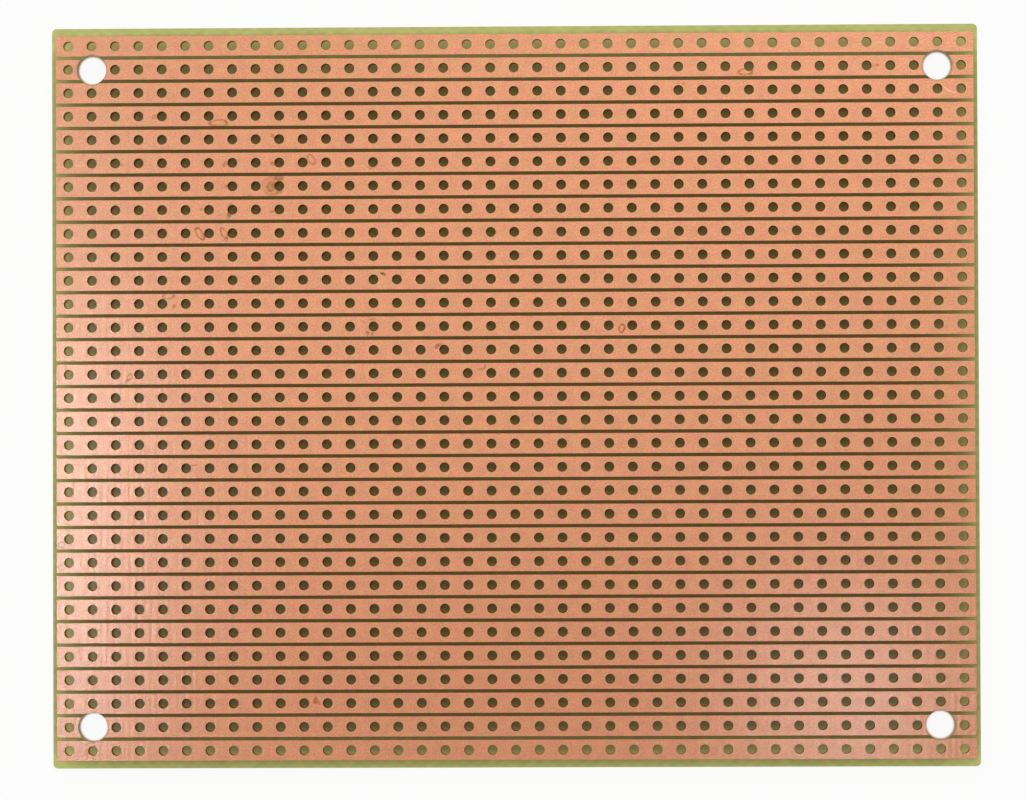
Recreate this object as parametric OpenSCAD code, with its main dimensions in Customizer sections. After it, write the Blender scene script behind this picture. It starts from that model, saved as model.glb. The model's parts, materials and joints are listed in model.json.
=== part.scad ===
// Strip board for prototypes: a drilled glass-epoxy sheet with parallel copper strips on one face.
// The strips run along X and the copper faces +Z. The origin is at the middle of the bare face.

/* [Board] */
// Length of the board, along the strips
board_length = 100; // [60:0.5:150]
// Width of the board, across the strips
board_width = 80; // [40:0.5:120]
// Thickness of the glass-epoxy sheet
board_thickness = 1.6; // [0.8:0.1:3.2]
// Radius of the four routed corners
corner_radius = 0.5; // [0.1:0.1:2]

/* [Hole grid] */
// Distance from one lead hole to the next, along and across the strips
pitch = 2.54; // [2.2:0.02:5.08]
// Diameter of a lead hole
lead_hole_diameter = 1.08; // [0.8:0.02:1.3]
// Least distance from the edge of the board to the centre of a lead hole
edge_margin = 1.5; // [1.4:0.1:4]

/* [Copper] */
// Thickness of the copper foil
foil_thickness = 0.035; // [0.018:0.001:0.14]
// Bare laminate between two strips
strip_gap = 0.36; // [0.2:0.02:0.6]
// Bare laminate left past each end of a strip
strip_end_margin = 0.4; // [0.1:0.05:0.6]

/* [Mounting holes] */
// Diameter of the four mounting holes
mounting_hole_diameter = 3.2; // [2.6:0.1:4.2]
// Column of holes that each mounting hole lies on, counted from the nearer end
mounting_column = 2; // [2:1:8]
// Row of holes that each mounting hole lies on, counted from the nearer side
mounting_row = 2; // [2:1:8]
// Least laminate left between a mounting hole and a lead hole
least_web = 0.3; // [0.1:0.05:0.6]

/* [Hidden] */
// The grid holds as many columns and rows as fit between the margins
columns = floor((board_length - 2 * edge_margin) / pitch) + 1;
rows = floor((board_width - 2 * edge_margin) / pitch) + 1;
strip_width = pitch - strip_gap;
strip_end = board_length / 2 - strip_end_margin;

// Corners in order, each with the sign of its X and Y
corners = [
    ["rear_left", -1, 1],
    ["rear_right", 1, 1],
    ["front_left", -1, -1],
    ["front_right", 1, -1],
];

// Facets on a round hole
hole_facets = 32;

function strip_name(row) = str("strip_", row < 10 ? "0" : "", row);
function pad_name(corner) = str("pad_", corner[0]);

// Place of a column, counted from the left end, and of a row, counted from the rear side
function column_x(column) = (column - (columns + 1) / 2) * pitch;
function row_y(row) = ((rows + 1) / 2 - row) * pitch;

// Centre of the mounting hole at a corner
function mounting_x(corner) = -corner[1] * column_x(mounting_column);
function mounting_y(corner) = corner[2] * row_y(mounting_row);
function is_mounting_row(row) = row == mounting_row || row == rows + 1 - mounting_row;

// A mounting hole takes the place of every lead hole that it would break into
mounting_reach = mounting_hole_diameter / 2 + lead_hole_diameter / 2 + least_web;
function to_mounting_hole(x, y) =
    min([for (corner = corners) norm([x - mounting_x(corner), y - mounting_y(corner)])]);
function is_drilled(column, row) =
    to_mounting_hole(column_x(column), row_y(row)) >= mounting_reach;

module board_outline() {
    square([board_length - 2 * corner_radius, board_width], center = true);
    square([board_length, board_width - 2 * corner_radius], center = true);
    for (corner = corners)
        translate([
            corner[1] * (board_length / 2 - corner_radius),
            corner[2] * (board_width / 2 - corner_radius)
        ])
            circle(r = corner_radius, $fn = hole_facets);
}

module lead_holes(row) {
    for (column = [1:columns])
        if (is_drilled(column, row))
            translate([column_x(column), row_y(row)])
                circle(d = lead_hole_diameter, $fn = hole_facets);
}

module mounting_holes() {
    for (corner = corners)
        translate([mounting_x(corner), mounting_y(corner)])
            circle(d = mounting_hole_diameter, $fn = hole_facets);
}

// The sheet is drilled right through, so the strips take their holes from the same grid
module laminate() {
    color([0.62, 0.63, 0.38])
        linear_extrude(board_thickness)
            difference() {
                board_outline();
                for (row = [1:rows])
                    lead_holes(row);
                mounting_holes();
            }
}

// Foil on one row between two places along it, with the holes of that row
module foil(row, from_x, to_x) {
    color([0.85, 0.61, 0.47])
        translate([0, 0, board_thickness])
            linear_extrude(foil_thickness)
                difference() {
                    translate([from_x, row_y(row) - strip_width / 2])
                        square([to_x - from_x, strip_width]);
                    lead_holes(row);
                    mounting_holes();
                }
}

// The mounting holes are wider than a strip, so the strips on their rows end at them
module strip(row) {
    reach = is_mounting_row(row) ? -column_x(mounting_column) : strip_end;
    foil(row, -reach, reach);
}

// What those two strips leave past each mounting hole is an island of its own
module pad(corner) {
    row = corner[2] > 0 ? mounting_row : rows + 1 - mounting_row;
    ends = [corner[1] * strip_end, mounting_x(corner)];
    foil(row, min(ends), max(ends));
}

laminate();
for (row = [1:rows])
    strip(row);
for (corner = corners)
    pad(corner);
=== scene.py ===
"""Looks of a copper strip prototype board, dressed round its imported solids.

A drilled sheet of glass-epoxy laminate carries parallel strips of bare copper foil on its upper
face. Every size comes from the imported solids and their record. Outlines and the patterns of the
finishes are laid out in millimetres, and the meshes are scaled to metres when they are made.
"""

import json
import logging
import math
from collections.abc import Iterable, Sequence
from dataclasses import dataclass, field
from enum import Enum

import bpy
import numpy as np
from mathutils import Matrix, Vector
from mathutils.geometry import delaunay_2d_cdt


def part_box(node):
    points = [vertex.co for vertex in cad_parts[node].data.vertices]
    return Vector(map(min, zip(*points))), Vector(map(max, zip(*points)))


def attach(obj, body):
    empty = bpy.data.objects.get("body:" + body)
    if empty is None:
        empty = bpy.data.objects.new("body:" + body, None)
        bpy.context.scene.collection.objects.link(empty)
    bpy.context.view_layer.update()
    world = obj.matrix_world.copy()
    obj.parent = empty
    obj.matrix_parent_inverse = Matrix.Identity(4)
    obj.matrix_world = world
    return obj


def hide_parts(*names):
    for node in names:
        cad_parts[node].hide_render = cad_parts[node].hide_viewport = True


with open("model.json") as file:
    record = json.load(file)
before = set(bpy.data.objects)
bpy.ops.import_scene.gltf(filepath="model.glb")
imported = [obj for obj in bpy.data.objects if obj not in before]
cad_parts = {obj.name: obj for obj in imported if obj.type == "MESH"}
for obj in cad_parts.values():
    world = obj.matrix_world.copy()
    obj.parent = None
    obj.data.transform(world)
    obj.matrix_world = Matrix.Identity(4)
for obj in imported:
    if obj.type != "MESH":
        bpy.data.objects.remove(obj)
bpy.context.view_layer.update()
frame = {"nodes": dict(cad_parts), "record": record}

log = logging.getLogger("strip_board")

MM = 0.001
BODY = "root"

# How plates are filled with triangles: everywhere within their outermost points, with points
# closer than this taken as one. Edges that bend more than the sharp angle are shaded as corners.
FILL_ALL = 0
MERGE_GAP = 1e-6
SHARP_ANGLE = math.radians(30)

Pair = tuple[float, float]
Colour = tuple[float, float, float]
Socket = bpy.types.NodeSocket
Feed = Socket | float | Sequence[float]


def shade(red: int, green: int, blue: int) -> Colour:
    """Turns a colour as a screen shows it into the linear one that a finish holds (sRGB curve).

    Args:
        red: Red from 0 to 255.
        green: Green from 0 to 255.
        blue: Blue from 0 to 255.

    Returns:
        The three linear parts, each from 0 to 1.
    """
    parts = (part / 255 for part in (red, green, blue))
    linear = (p / 12.92 if p <= 0.04045 else ((p + 0.055) / 1.055) ** 2.4 for p in parts)
    return tuple(linear)


# ---------------------------------------------------------------- sizes of the board


@dataclass(frozen=True)
class Hole:
    """A round hole right through the board, seen from above, in millimetres.

    Attributes:
        x: Place of its middle along the strips.
        y: Place of its middle across them.
        radius: Its radius.
    """

    x: float
    y: float
    radius: float

    def rim(self, facets: int) -> np.ndarray:
        """Lays out the rim as a polygon.

        Args:
            facets: Number of its sides.

        Returns:
            Its corners in order, one row each.
        """
        turn = (np.arange(facets) + 0.5) * math.tau / facets
        x = self.x + self.radius * np.cos(turn)
        y = self.y + self.radius * np.sin(turn)
        return np.column_stack([x, y])

    def meets(self, other: "Hole") -> bool:
        """Says whether this hole and another one touch or overlap."""
        return math.hypot(self.x - other.x, self.y - other.y) <= self.radius + other.radius


@dataclass(frozen=True)
class Span:
    """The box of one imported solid, in millimetres.

    Attributes:
        left: Its least place along the strips.
        right: Its greatest place along them.
        front: Its least place across the strips.
        rear: Its greatest place across them.
        low: Height of its lower face.
        high: Height of its upper face.
    """

    left: float
    right: float
    front: float
    rear: float
    low: float
    high: float

    @classmethod
    def of(cls, node: str) -> "Span":
        """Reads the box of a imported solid.

        Args:
            node: Name of the solid.

        Returns:
            Its span.
        """
        low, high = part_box(node)
        return cls(*(round(part / MM, 4) for part in (low.x, high.x, low.y, high.y, low.z, high.z)))


@dataclass(frozen=True)
class HoleGrid:
    """The grid of lead holes and the mounting holes that take some of its places.

    Attributes:
        pitch: Distance from one lead hole to the next, both ways.
        columns: Number of places along the strips.
        rows: Number of places across them.
        lead_radius: Radius of a lead hole.
        mounting: The mounting holes.
    """

    pitch: float
    columns: int
    rows: int
    lead_radius: float
    mounting: tuple[Hole, ...]

    @classmethod
    def from_record(cls, record: dict, rows: int) -> "HoleGrid":
        """Reads the grid from the stated mounts.

        Args:
            record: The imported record.
            rows: Number of copper strips, one for each row of holes.

        Returns:
            The grid, centred on the board.
        """
        bores = {m["name"]: m for m in record["mounts"] if m["kind"] == "bore"}
        first, last = bores["lead_hole_first"], bores["lead_hole_last"]
        pitch = (first["pos_m"][1] - last["pos_m"][1]) / (rows - 1) / MM
        columns = round((last["pos_m"][0] - first["pos_m"][0]) / MM / pitch) + 1
        mounting = tuple(
            Hole(m["pos_m"][0] / MM, m["pos_m"][1] / MM, m["dims"]["r_mm"])
            for name, m in bores.items()
            if name.startswith("mounting_hole")
        )
        return cls(pitch, columns, rows, first["dims"]["r_mm"], mounting)

    def lead_holes(self) -> list[Hole]:
        """Lists every lead hole, leaving out the places that a mounting hole takes.

        Returns:
            The holes, row by row.
        """
        middle_column = (self.columns - 1) / 2
        middle_row = (self.rows - 1) / 2
        columns = [(column - middle_column) * self.pitch for column in range(self.columns)]
        rows = [(row - middle_row) * self.pitch for row in range(self.rows)]
        places = [Hole(x, y, self.lead_radius) for y in rows for x in columns]
        return [place for place in places if not any(place.meets(hole) for hole in self.mounting)]


# ---------------------------------------------------------------- cutting and drilling plates


@dataclass
class CutPlate:
    """A flat plate, cut to an outline and drilled, that becomes one closed mesh.

    Attributes:
        outline: Corners of the outline in order, anticlockwise.
        holes: Holes through it. One that crosses the outline leaves a bite.
        low: Height of its lower face.
        high: Height of its upper face.
        low_break: Width of the broken edge all round the lower face.
        high_break: Width of the broken edge all round the upper face.
        facets: Sides of a lead hole's rim.
        wide_facets: Sides of a wide hole's rim.
        wide_from: Radius from which a hole counts as wide.
    """

    outline: np.ndarray
    holes: list[Hole]
    low: float
    high: float
    low_break: float = 0.0
    high_break: float = 0.0
    facets: int = 24
    wide_facets: int = 72
    wide_from: float = 1.0

    def rims(self) -> list[np.ndarray]:
        """Lays out the rims of the holes that reach the plate.

        Returns:
            The corners of each rim in order.
        """
        left, front = self.outline.min(axis=0)
        right, rear = self.outline.max(axis=0)
        return [
            hole.rim(self.facets if hole.radius < self.wide_from else self.wide_facets)
            for hole in self.holes
            if left < hole.x + hole.radius
            and hole.x - hole.radius < right
            and front < hole.y + hole.radius
            and hole.y - hole.radius < rear
        ]

    def pattern(self) -> tuple[np.ndarray, np.ndarray]:
        """Fills the outline with triangles round the holes.

        Returns:
            The points, and the triangles as rows of three indices into them.
        """
        loops = [self.outline, *self.rims()]
        points, edges = [], []
        for loop in loops:
            start = len(points)
            points.extend(Vector(corner) for corner in loop)
            edges.extend((start + i, start + (i + 1) % len(loop)) for i in range(len(loop)))
        made = delaunay_2d_cdt(points, edges, [], FILL_ALL, MERGE_GAP, False)
        places = np.array([tuple(point) for point in made[0]])
        triangles = np.array(made[2])
        middles = places[triangles].mean(axis=1)
        kept = inside(middles, self.outline)
        for rim in loops[1:]:
            centre = rim.mean(axis=0)
            near = np.hypot(*(middles - centre).T) < np.hypot(*(rim[0] - centre))
            near[near] = inside(middles[near], rim)
            kept &= ~near
        used, compact = np.unique(triangles[kept], return_inverse=True)
        return places[used], compact.reshape(-1, 3)

    def mesh(self, name: str) -> bpy.types.Mesh:
        """Builds the plate.

        Args:
            name: Name of the mesh.

        Returns:
            A closed mesh in metres, with flat faces and smooth bores.
        """
        places, triangles = self.pattern()
        edges = open_edges(triangles)
        inward = inward_offsets(places, edges)
        levels = [(self.low, self.low_break)]
        levels += [(self.low + self.low_break, 0.0)] if self.low_break else []
        levels += [(self.high - self.high_break, 0.0)] if self.high_break else []
        levels += [(self.high, self.high_break)]
        rings = [
            np.column_stack([places + inward * width, np.full(len(places), height)])
            for height, width in levels
        ]
        count = len(places)
        faces = (triangles[:, ::-1]).tolist() + (triangles + count * (len(levels) - 1)).tolist()
        for level in range(len(levels) - 1):
            below, above = edges + count * level, edges + count * (level + 1)
            faces += np.column_stack([below, above[:, ::-1]]).tolist()
        mesh = bpy.data.meshes.new(name)
        mesh.from_pydata((np.vstack(rings) * MM).tolist(), [], faces)
        mesh.shade_smooth()
        mesh.set_sharp_from_angle(angle=SHARP_ANGLE)
        return mesh


def inside(points: np.ndarray, polygon: np.ndarray) -> np.ndarray:
    """Tests which points lie in a polygon, by counting the sides that a line from each crosses.

    Args:
        points: The points, one row each.
        polygon: Its corners in order.

    Returns:
        One truth value for each point.
    """
    found = np.zeros(len(points), bool)
    for (ax, ay), (bx, by) in zip(polygon, np.roll(polygon, -1, axis=0), strict=True):
        level = (ay > points[:, 1]) != (by > points[:, 1])
        if ay != by:
            found ^= level & (points[:, 0] < (bx - ax) * (points[:, 1] - ay) / (by - ay) + ax)
    return found


def open_edges(triangles: np.ndarray) -> np.ndarray:
    """Finds the edges that have a triangle on one side only.

    Args:
        triangles: Rows of three indices, anticlockwise.

    Returns:
        The edges as pairs of indices, with the material on the left.
    """
    edges = np.vstack([triangles[:, [0, 1]], triangles[:, [1, 2]], triangles[:, [2, 0]]])
    held = {tuple(edge) for edge in edges.tolist()}
    return np.array([edge for edge in edges.tolist() if (edge[1], edge[0]) not in held])


def inward_offsets(places: np.ndarray, edges: np.ndarray) -> np.ndarray:
    """Works out how each point on the edge moves when every side moves in by one unit.

    Args:
        places: The points, one row each.
        edges: Pairs of indices, with the material on the left.

    Returns:
        One move for each point.
    """
    along = places[edges[:, 1]] - places[edges[:, 0]]
    along /= np.linalg.norm(along, axis=1, keepdims=True)
    normals = np.column_stack([-along[:, 1], along[:, 0]])
    after, before = np.zeros_like(places), np.zeros_like(places)
    after[edges[:, 0]] = normals
    before[edges[:, 1]] = normals
    square = 1 + np.einsum("ij,ij->i", after, before)
    least = 0.3  # keeps the tip of a very sharp corner from running off
    return (after + before) / np.maximum(square, least)[:, None]


def rounded_outline(span: Span, radius: float, facets: int = 8) -> np.ndarray:
    """Lays out a rectangle with round corners.

    Args:
        span: The box that it fills.
        radius: Radius of its corners.
        facets: Sides of each corner.

    Returns:
        Its corners in order, anticlockwise.
    """
    middles = [
        (span.right - radius, span.rear - radius),
        (span.left + radius, span.rear - radius),
        (span.left + radius, span.front + radius),
        (span.right - radius, span.front + radius),
    ]
    quarter = math.pi / 2
    turns = np.linspace(0, quarter, facets + 1)
    return np.array([
        (x + radius * math.cos(turn + order * quarter), y + radius * math.sin(turn + order * quarter))
        for order, (x, y) in enumerate(middles)
        for turn in turns
    ])


def etched_outline(span: Span, wander: float, step: float, dice: np.random.Generator) -> np.ndarray:
    """Lays out a rectangle whose sides wander slightly inwards, as etched foil does.

    Args:
        span: The box that it stays in.
        wander: The most that a side moves in.
        step: Distance between points along a side.
        dice: Source of the wander.

    Returns:
        Its corners in order, anticlockwise.
    """
    corners = np.array([
        (span.left, span.front),
        (span.right, span.front),
        (span.right, span.rear),
        (span.left, span.rear),
    ])
    sides = []
    for corner, following in zip(corners, np.roll(corners, -1, axis=0), strict=True):
        side = following - corner
        length = np.linalg.norm(side)
        count = max(2, round(length / step))
        shares = np.arange(count) / count
        inward = np.array([-side[1], side[0]]) / length
        moves = wander * dice.random(count)
        moves[0] = 0
        sides.append(corner + shares[:, None] * side + moves[:, None] * inward)
    return np.vstack(sides)


# ---------------------------------------------------------------- node materials


class NodeBench:
    """Builds one node material in short calls. Places on it are in millimetres."""

    def __init__(self, name: str) -> None:
        """Starts an empty material.

        Args:
            name: Name of the material.
        """
        self.material = bpy.data.materials.new(name)
        self.material.use_nodes = True
        self.tree = self.material.node_tree
        self.tree.nodes.clear()

    def add(self, kind: str, **settings: object) -> bpy.types.Node:
        """Adds a node.

        Args:
            kind: Its type, without the leading ShaderNode.
            **settings: Values for its own properties.

        Returns:
            The node.
        """
        node = self.tree.nodes.new("ShaderNode" + kind)
        for key, value in settings.items():
            setattr(node, key, value)
        return node

    def feed(self, socket: Socket, value: Feed) -> None:
        """Links a socket to another one, or sets it to a number or a colour.

        Args:
            socket: The input.
            value: What it gets.
        """
        if isinstance(value, Socket):
            self.tree.links.new(value, socket)
        elif isinstance(value, (int, float)):
            socket.default_value = value
        elif len(socket.default_value) == 4:
            socket.default_value = (*value, 1.0)
        else:
            socket.default_value = tuple(value)

    def math(self, operation: str, *values: Feed, clamp: bool = False) -> Socket:
        """Adds a sum on numbers.

        Args:
            operation: Which sum it is.
            *values: What goes into it, in order.
            clamp: Whether the result is kept from 0 to 1.

        Returns:
            The result.
        """
        node = self.add("Math", operation=operation, use_clamp=clamp)
        for socket, value in zip(node.inputs, values, strict=False):
            self.feed(socket, value)
        return node.outputs[0]

    def vector(self, operation: str, *values: Feed) -> Socket:
        """Adds a sum on vectors.

        Args:
            operation: Which sum it is.
            *values: What goes into it, in order.

        Returns:
            The result, which is a number for a length or a distance.
        """
        node = self.add("VectorMath", operation=operation)
        sockets = [node.inputs[0], node.inputs["Scale"]] if operation == "SCALE" else node.inputs
        for socket, value in zip(sockets, values, strict=False):
            self.feed(socket, value)
        return node.outputs["Value" if operation in ("LENGTH", "DISTANCE") else "Vector"]

    def place(self) -> Socket:
        """Returns the place on the piece, in millimetres."""
        return self.vector("SCALE", self.add("TexCoord").outputs["Object"], 1 / MM)

    def split(self, vector: Feed) -> tuple[Socket, ...]:
        """Takes a vector apart.

        Args:
            vector: The vector.

        Returns:
            Its three parts.
        """
        node = self.add("SeparateXYZ")
        self.feed(node.inputs[0], vector)
        return tuple(node.outputs)

    def join(self, x: Feed, y: Feed, z: Feed = 0.0) -> Socket:
        """Puts a vector together.

        Args:
            x: Its first part.
            y: Its second part.
            z: Its third part.

        Returns:
            The vector.
        """
        node = self.add("CombineXYZ")
        for socket, value in zip(node.inputs, (x, y, z), strict=True):
            self.feed(socket, value)
        return node.outputs[0]

    def noise(
        self, place: Feed, scale: float, detail: float = 2.0, roughness: float = 0.5
    ) -> Socket:
        """Adds a cloudy pattern.

        Args:
            place: Where it is read, in millimetres.
            scale: Its lumps in each millimetre.
            detail: How many finer layers it has.
            roughness: How strong those are.

        Returns:
            Its value, about 0.5 on average.
        """
        node = self.add("TexNoise")
        self.feed(node.inputs["Vector"], place)
        self.feed(node.inputs["Scale"], scale)
        self.feed(node.inputs["Detail"], detail)
        self.feed(node.inputs["Roughness"], roughness)
        return node.outputs[0]

    def shaken(self, place: Feed, scale: float, reach: float) -> Socket:
        """Shakes a place a little, so that what is drawn there wanders.

        Args:
            place: The place, in millimetres.
            scale: Turns in each millimetre.
            reach: How far it wanders, from side to side.

        Returns:
            The shaken place.
        """
        node = self.add("TexNoise")
        self.feed(node.inputs["Vector"], place)
        self.feed(node.inputs["Scale"], scale)
        aside = self.vector("SUBTRACT", node.outputs["Color"], (0.5, 0.5, 0.5))
        return self.vector("ADD", place, self.vector("SCALE", aside, reach))

    def ramp(
        self, value: Feed, start: float, end: float, low: float = 0.0, high: float = 1.0
    ) -> Socket:
        """Eases a value from one number to another.

        Args:
            value: What is read.
            start: Reading at which the result is low.
            end: Reading at which it is high. It may be under start.
            low: Result at start.
            high: Result at end.

        Returns:
            The eased value.
        """
        node = self.add("MapRange", interpolation_type="SMOOTHSTEP")
        flip = end < start
        bounds = (end, start, high, low) if flip else (start, end, low, high)
        for socket, number in zip(node.inputs, (value, *bounds), strict=False):
            self.feed(socket, number)
        return node.outputs[0]

    def mix(self, share: Feed, first: Feed, second: Feed, blend: str = "MIX") -> Socket:
        """Mixes two colours.

        Args:
            share: How much of the second there is.
            first: The first colour.
            second: The second colour.
            blend: How they go together.

        Returns:
            The mixed colour.
        """
        node = self.add("Mix", data_type="RGBA", blend_type=blend)
        self.feed(node.inputs["Factor"], share)
        colours = [socket for socket in node.inputs if socket.type == "RGBA"]
        self.feed(colours[0], first)
        self.feed(colours[1], second)
        return next(socket for socket in node.outputs if socket.type == "RGBA")

    def dim(self, colour: Feed, first: Feed, second: Feed) -> Socket:
        """Makes a colour lighter or darker by two factors.

        Args:
            colour: The colour.
            first: The one factor.
            second: The other factor.

        Returns:
            The changed colour.
        """
        light = self.math("MULTIPLY", first, second)
        return self.mix(1.0, colour, self.join(light, light, light), "MULTIPLY")

    def bump(self, height: Feed, distance: float, strength: float = 1.0) -> Socket:
        """Turns a height into a surface normal.

        Args:
            height: Height from 0 to 1.
            distance: What 1 means, in millimetres.
            strength: How much of it shows.

        Returns:
            The normal.
        """
        node = self.add("Bump")
        self.feed(node.inputs["Height"], height)
        node.inputs["Distance"].default_value = distance * MM
        node.inputs["Strength"].default_value = strength
        return node.outputs[0]

    def shader(self, kind: str, **inputs: Feed) -> Socket:
        """Adds a shader.

        Args:
            kind: Its type, without the leading ShaderNode.
            **inputs: Its sockets by name, with _ for a space.

        Returns:
            The shader.
        """
        node = self.add(kind)
        for key, value in inputs.items():
            self.feed(node.inputs[key.replace("_", " ")], value)
        return node.outputs[0]

    def both(self, first: Feed, second: Feed) -> Socket:
        """Adds one shader to another.

        Args:
            first: The one shader.
            second: The other one.

        Returns:
            Both together.
        """
        node = self.add("AddShader")
        self.feed(node.inputs[0], first)
        self.feed(node.inputs[1], second)
        return node.outputs[0]

    def finish(self, surface: Socket) -> bpy.types.Material:
        """Ends the material in a surface.

        Args:
            surface: The shader that it shows.

        Returns:
            The material.
        """
        output = self.add("OutputMaterial")
        self.tree.links.new(surface, output.inputs["Surface"])
        return self.material


def from_lead_hole(bench: NodeBench, x: Feed, y: Feed, grid: HoleGrid) -> Socket:
    """Measures how far a place is from the middle of the nearest place of the grid.

    Args:
        bench: Where the nodes go.
        x: The place along the strips.
        y: The place across them.
        grid: The hole grid.

    Returns:
        The distance.
    """
    half = grid.pitch / 2
    offsets = (bench.math("WRAP", part, half, -half) for part in (x, y))
    return bench.vector("LENGTH", bench.join(*offsets))


def from_mounting_hole(bench: NodeBench, x: Feed, y: Feed, grid: HoleGrid) -> Socket:
    """Measures how far a place is from the middle of the nearest mounting hole.

    Args:
        bench: Where the nodes go.
        x: The place along the strips.
        y: The place across them.
        grid: The hole grid.

    Returns:
        The distance.
    """
    hole = grid.mounting[0]
    mirrored = bench.join(bench.math("ABSOLUTE", x), bench.math("ABSOLUTE", y))
    return bench.vector("DISTANCE", mirrored, (abs(hole.x), abs(hole.y), 0.0))


@dataclass(frozen=True)
class Cloud:
    """A cloudy pattern in a finish.

    Attributes:
        scale: Its lumps in each millimetre.
        detail: How many finer layers it has.
        roughness: How strong those are.
        stretch: How much closer its lumps lie along and across the strips.
        reads: Values of the pattern between which it shows.
        gives: What it amounts to at the two.
    """

    scale: float = 1.0
    detail: float = 2.0
    roughness: float = 0.5
    stretch: Pair | None = None
    reads: Pair = (0.3, 0.7)
    gives: Pair = (0.0, 1.0)

    def plain(self, bench: NodeBench, place: Feed) -> Socket:
        """Reads the pattern as it is.

        Args:
            bench: Where the nodes go.
            place: Where it is read, in millimetres.

        Returns:
            Its value, about 0.5 on average.
        """
        if self.stretch:
            place = bench.vector("MULTIPLY", place, (*self.stretch, 1.0))
        return bench.noise(place, self.scale, self.detail, self.roughness)

    def read(self, bench: NodeBench, place: Feed) -> Socket:
        """Reads what the pattern gives at a place."""
        return bench.ramp(self.plain(bench, place), *self.reads, *self.gives)


@dataclass(frozen=True)
class Ring:
    """Another tone of the foil in a ring round a hole.

    Attributes:
        tone: Its colour.
        full: Distance from the rim of the hole within which it is at its strongest.
        gone: Distance at which it has faded out.
        strength: Its share there where it is strongest.
    """

    tone: Colour
    full: float
    gone: float
    strength: float

    def lay(self, bench: NodeBench, colour: Feed, distance: Feed, radius: float) -> Socket:
        """Lays the ring over a colour.

        Args:
            bench: Where the nodes go.
            colour: The colour under it.
            distance: Distance from the middle of the hole.
            radius: Radius of the hole.

        Returns:
            The colour with the ring on it.
        """
        share = bench.ramp(distance, radius + self.gone, radius + self.full, 0.0, self.strength)
        return bench.mix(share, colour, self.tone)


class MarkKind(Enum):
    """What left a mark on the foil."""

    DROPLET = "thin outline of a droplet that dried"
    STAIN = "brown blot"
    SOOT = "dark olive blot"
    SCRATCH = "bright hairline"


@dataclass(frozen=True)
class Mark:
    """One mark on the foil, in millimetres from the middle of the board.

    Attributes:
        kind: What left it.
        x: Place of its middle along the strips.
        y: Place of its middle across them.
        length: Its longer size.
        width: Its shorter size.
        turn: Angle of its length from the strips, in degrees.
        weight: How strongly it shows.
        bend: How far its ends curl up, as a share of its length.
    """

    kind: MarkKind
    x: float
    y: float
    length: float
    width: float
    turn: float = 0.0
    weight: float = 1.0
    bend: float = 0.0

    def touches(self, span: Span) -> bool:
        """Says whether the mark reaches onto a piece of foil.

        Args:
            span: Box of the piece.

        Returns:
            Whether it does, with room for its ragged edge.
        """
        ragged = 0.3
        reach = self.length / 2 + ragged
        return (
            span.left - reach < self.x < span.right + reach
            and span.front - reach < self.y < span.rear + reach
        )


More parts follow.
